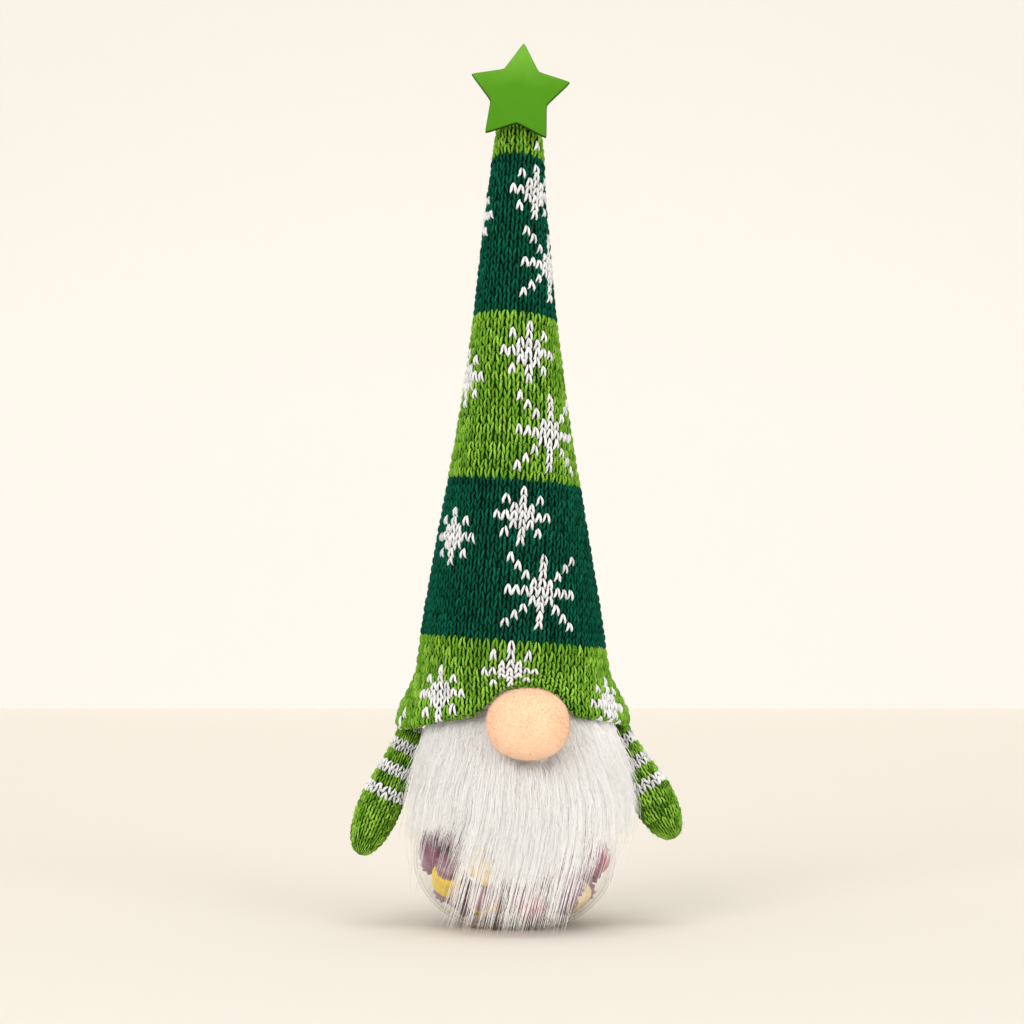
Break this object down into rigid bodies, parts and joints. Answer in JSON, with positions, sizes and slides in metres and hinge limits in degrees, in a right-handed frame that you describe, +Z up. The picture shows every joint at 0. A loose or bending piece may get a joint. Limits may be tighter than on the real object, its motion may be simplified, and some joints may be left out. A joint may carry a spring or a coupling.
{
  "type": "gnome candy jar figurine",
  "caption": "Gnome figurine on a clear ball-shaped jar of wrapped sweets; its screw lid carries the head with a tall knitted cone hat, fur beard, round nose and two stuffed arms.",
  "frame": {"origin": "centre of the jar's flat foot, on the jar's axis", "axes": "+Z up along the jar's axis; the face looks along -Y; +X is to the right as one looks at the face"},
  "size_m": [0.1201, 0.1008, 0.316],
  "materials": {
    "jar_plastic": "clear, glossy",
    "lid_plastic": "moulded, semi-gloss, ribbed",
    "liner_foam": "closed-cell foam wad",
    "core_foam": "expanded foam, beaded, matt",
    "hat_knit": "machine-knitted acrylic, light and dark green bands with white snowflakes",
    "gather_yarn": "twisted thread",
    "star_foam": "foam sheet, velvety, matt",
    "glue": "hot-melt glue, translucent",
    "nose_flock": "short flocked pile, peach",
    "beard_fur": "long-pile white faux fur",
    "arm_knit": "knitted tube, green with white bands",
    "stuffing": "polyester fibre filling",
    "wrapper_yellow": "crinkled sweet wrapper",
    "wrapper_crimson": "crinkled sweet wrapper",
    "wrapper_mauve": "crinkled sweet wrapper",
    "wrapper_cream": "crinkled sweet wrapper"
  },
  "bodies": {
    "jar": {"jar_body": "jar_plastic", "candy_01": "wrapper_mauve", "candy_02": "wrapper_yellow", "candy_03": "wrapper_crimson", "candy_04": "wrapper_cream", "candy_05": "wrapper_mauve", "candy_06": "wrapper_yellow", "candy_07": "wrapper_mauve", "candy_08": "wrapper_crimson", "candy_09": "wrapper_cream", "candy_10": "wrapper_yellow", "candy_11": "wrapper_cream", "candy_12": "wrapper_yellow", "candy_13": "wrapper_yellow", "candy_14": "wrapper_cream", "candy_15": "wrapper_crimson", "candy_16": "wrapper_mauve", "candy_17": "wrapper_mauve", "candy_18": "wrapper_cream", "candy_19": "wrapper_mauve", "candy_20": "wrapper_mauve", "candy_21": "wrapper_yellow", "candy_22": "wrapper_crimson", "candy_23": "wrapper_cream", "candy_24": "wrapper_cream", "candy_25": "wrapper_yellow", "candy_26": "wrapper_mauve", "candy_27": "wrapper_crimson", "candy_28": "wrapper_yellow", "candy_29": "wrapper_cream", "candy_30": "wrapper_crimson", "candy_31": "wrapper_mauve"},
    "liner": {"cap_liner": "liner_foam"},
    "head": {"screw_cap": "lid_plastic", "head_block": "core_foam", "hat_core": "core_foam", "hat_shell": "hat_knit", "gather_thread": "gather_yarn", "star": "star_foam", "star_glue": "glue", "nose": "nose_flock", "nose_glue": "glue", "beard": "beard_fur"},
    "arm_left": {"arm_left_cover": "arm_knit", "arm_left_stuffing": "stuffing"},
    "arm_right": {"arm_right_cover": "arm_knit", "arm_right_stuffing": "stuffing"}
  },
  "joints": [
    {"name": "lid_lift", "type": "slide", "parent": "jar", "child": "liner", "axis": [0, 0, 1], "range_m": [0, 0.0136]},
    {"name": "lid_turn", "type": "hinge", "parent": "liner", "child": "head", "pos_m": [0, 0, 0.0555], "axis": [0, 0, 1], "range_deg": [0, 1080]},
    {"name": "arm_left_swing", "type": "hinge", "parent": "head", "child": "arm_left", "pos_m": [-0.0393, -0.0015, 0.0645], "axis": [0, 1, 0], "range_deg": [0, 65]},
    {"name": "arm_right_swing", "type": "hinge", "parent": "head", "child": "arm_right", "pos_m": [0.0396, -0.0015, 0.0645], "axis": [0, -1, 0], "range_deg": [0, 65]}
  ],
  "couplings": [
    {"joint": "lid_lift", "follows": "lid_turn", "m_per_rad": 0.0007162}
  ]
}
